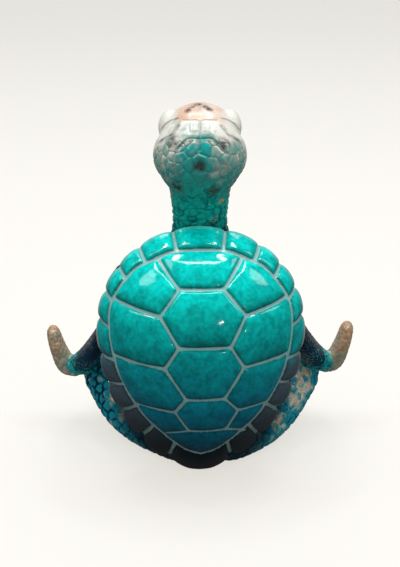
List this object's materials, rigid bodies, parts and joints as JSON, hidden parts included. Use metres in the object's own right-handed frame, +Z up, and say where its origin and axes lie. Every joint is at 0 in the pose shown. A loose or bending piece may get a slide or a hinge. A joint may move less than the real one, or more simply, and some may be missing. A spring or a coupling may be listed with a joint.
{
  "type": "turtle figurine",
  "caption": "Glazed sea turtle sitting cross-legged, with a domed plated shell, its head turned up and its fore flippers resting on its knees",
  "frame": {"origin": "centre of the seat, on the flat underside", "axes": "+Z up along the figure's height, the turtle faces -Y, X across its knees"},
  "size_m": [0.1458, 0.1121, 0.1617],
  "materials": {
    "glaze": "glossy reactive glaze, teal to deep blue, breaking to cream and tan on the raised scales"
  },
  "bodies": {
    "root": {"turtle_figurine": "glaze"}
  },
  "joints": []
}
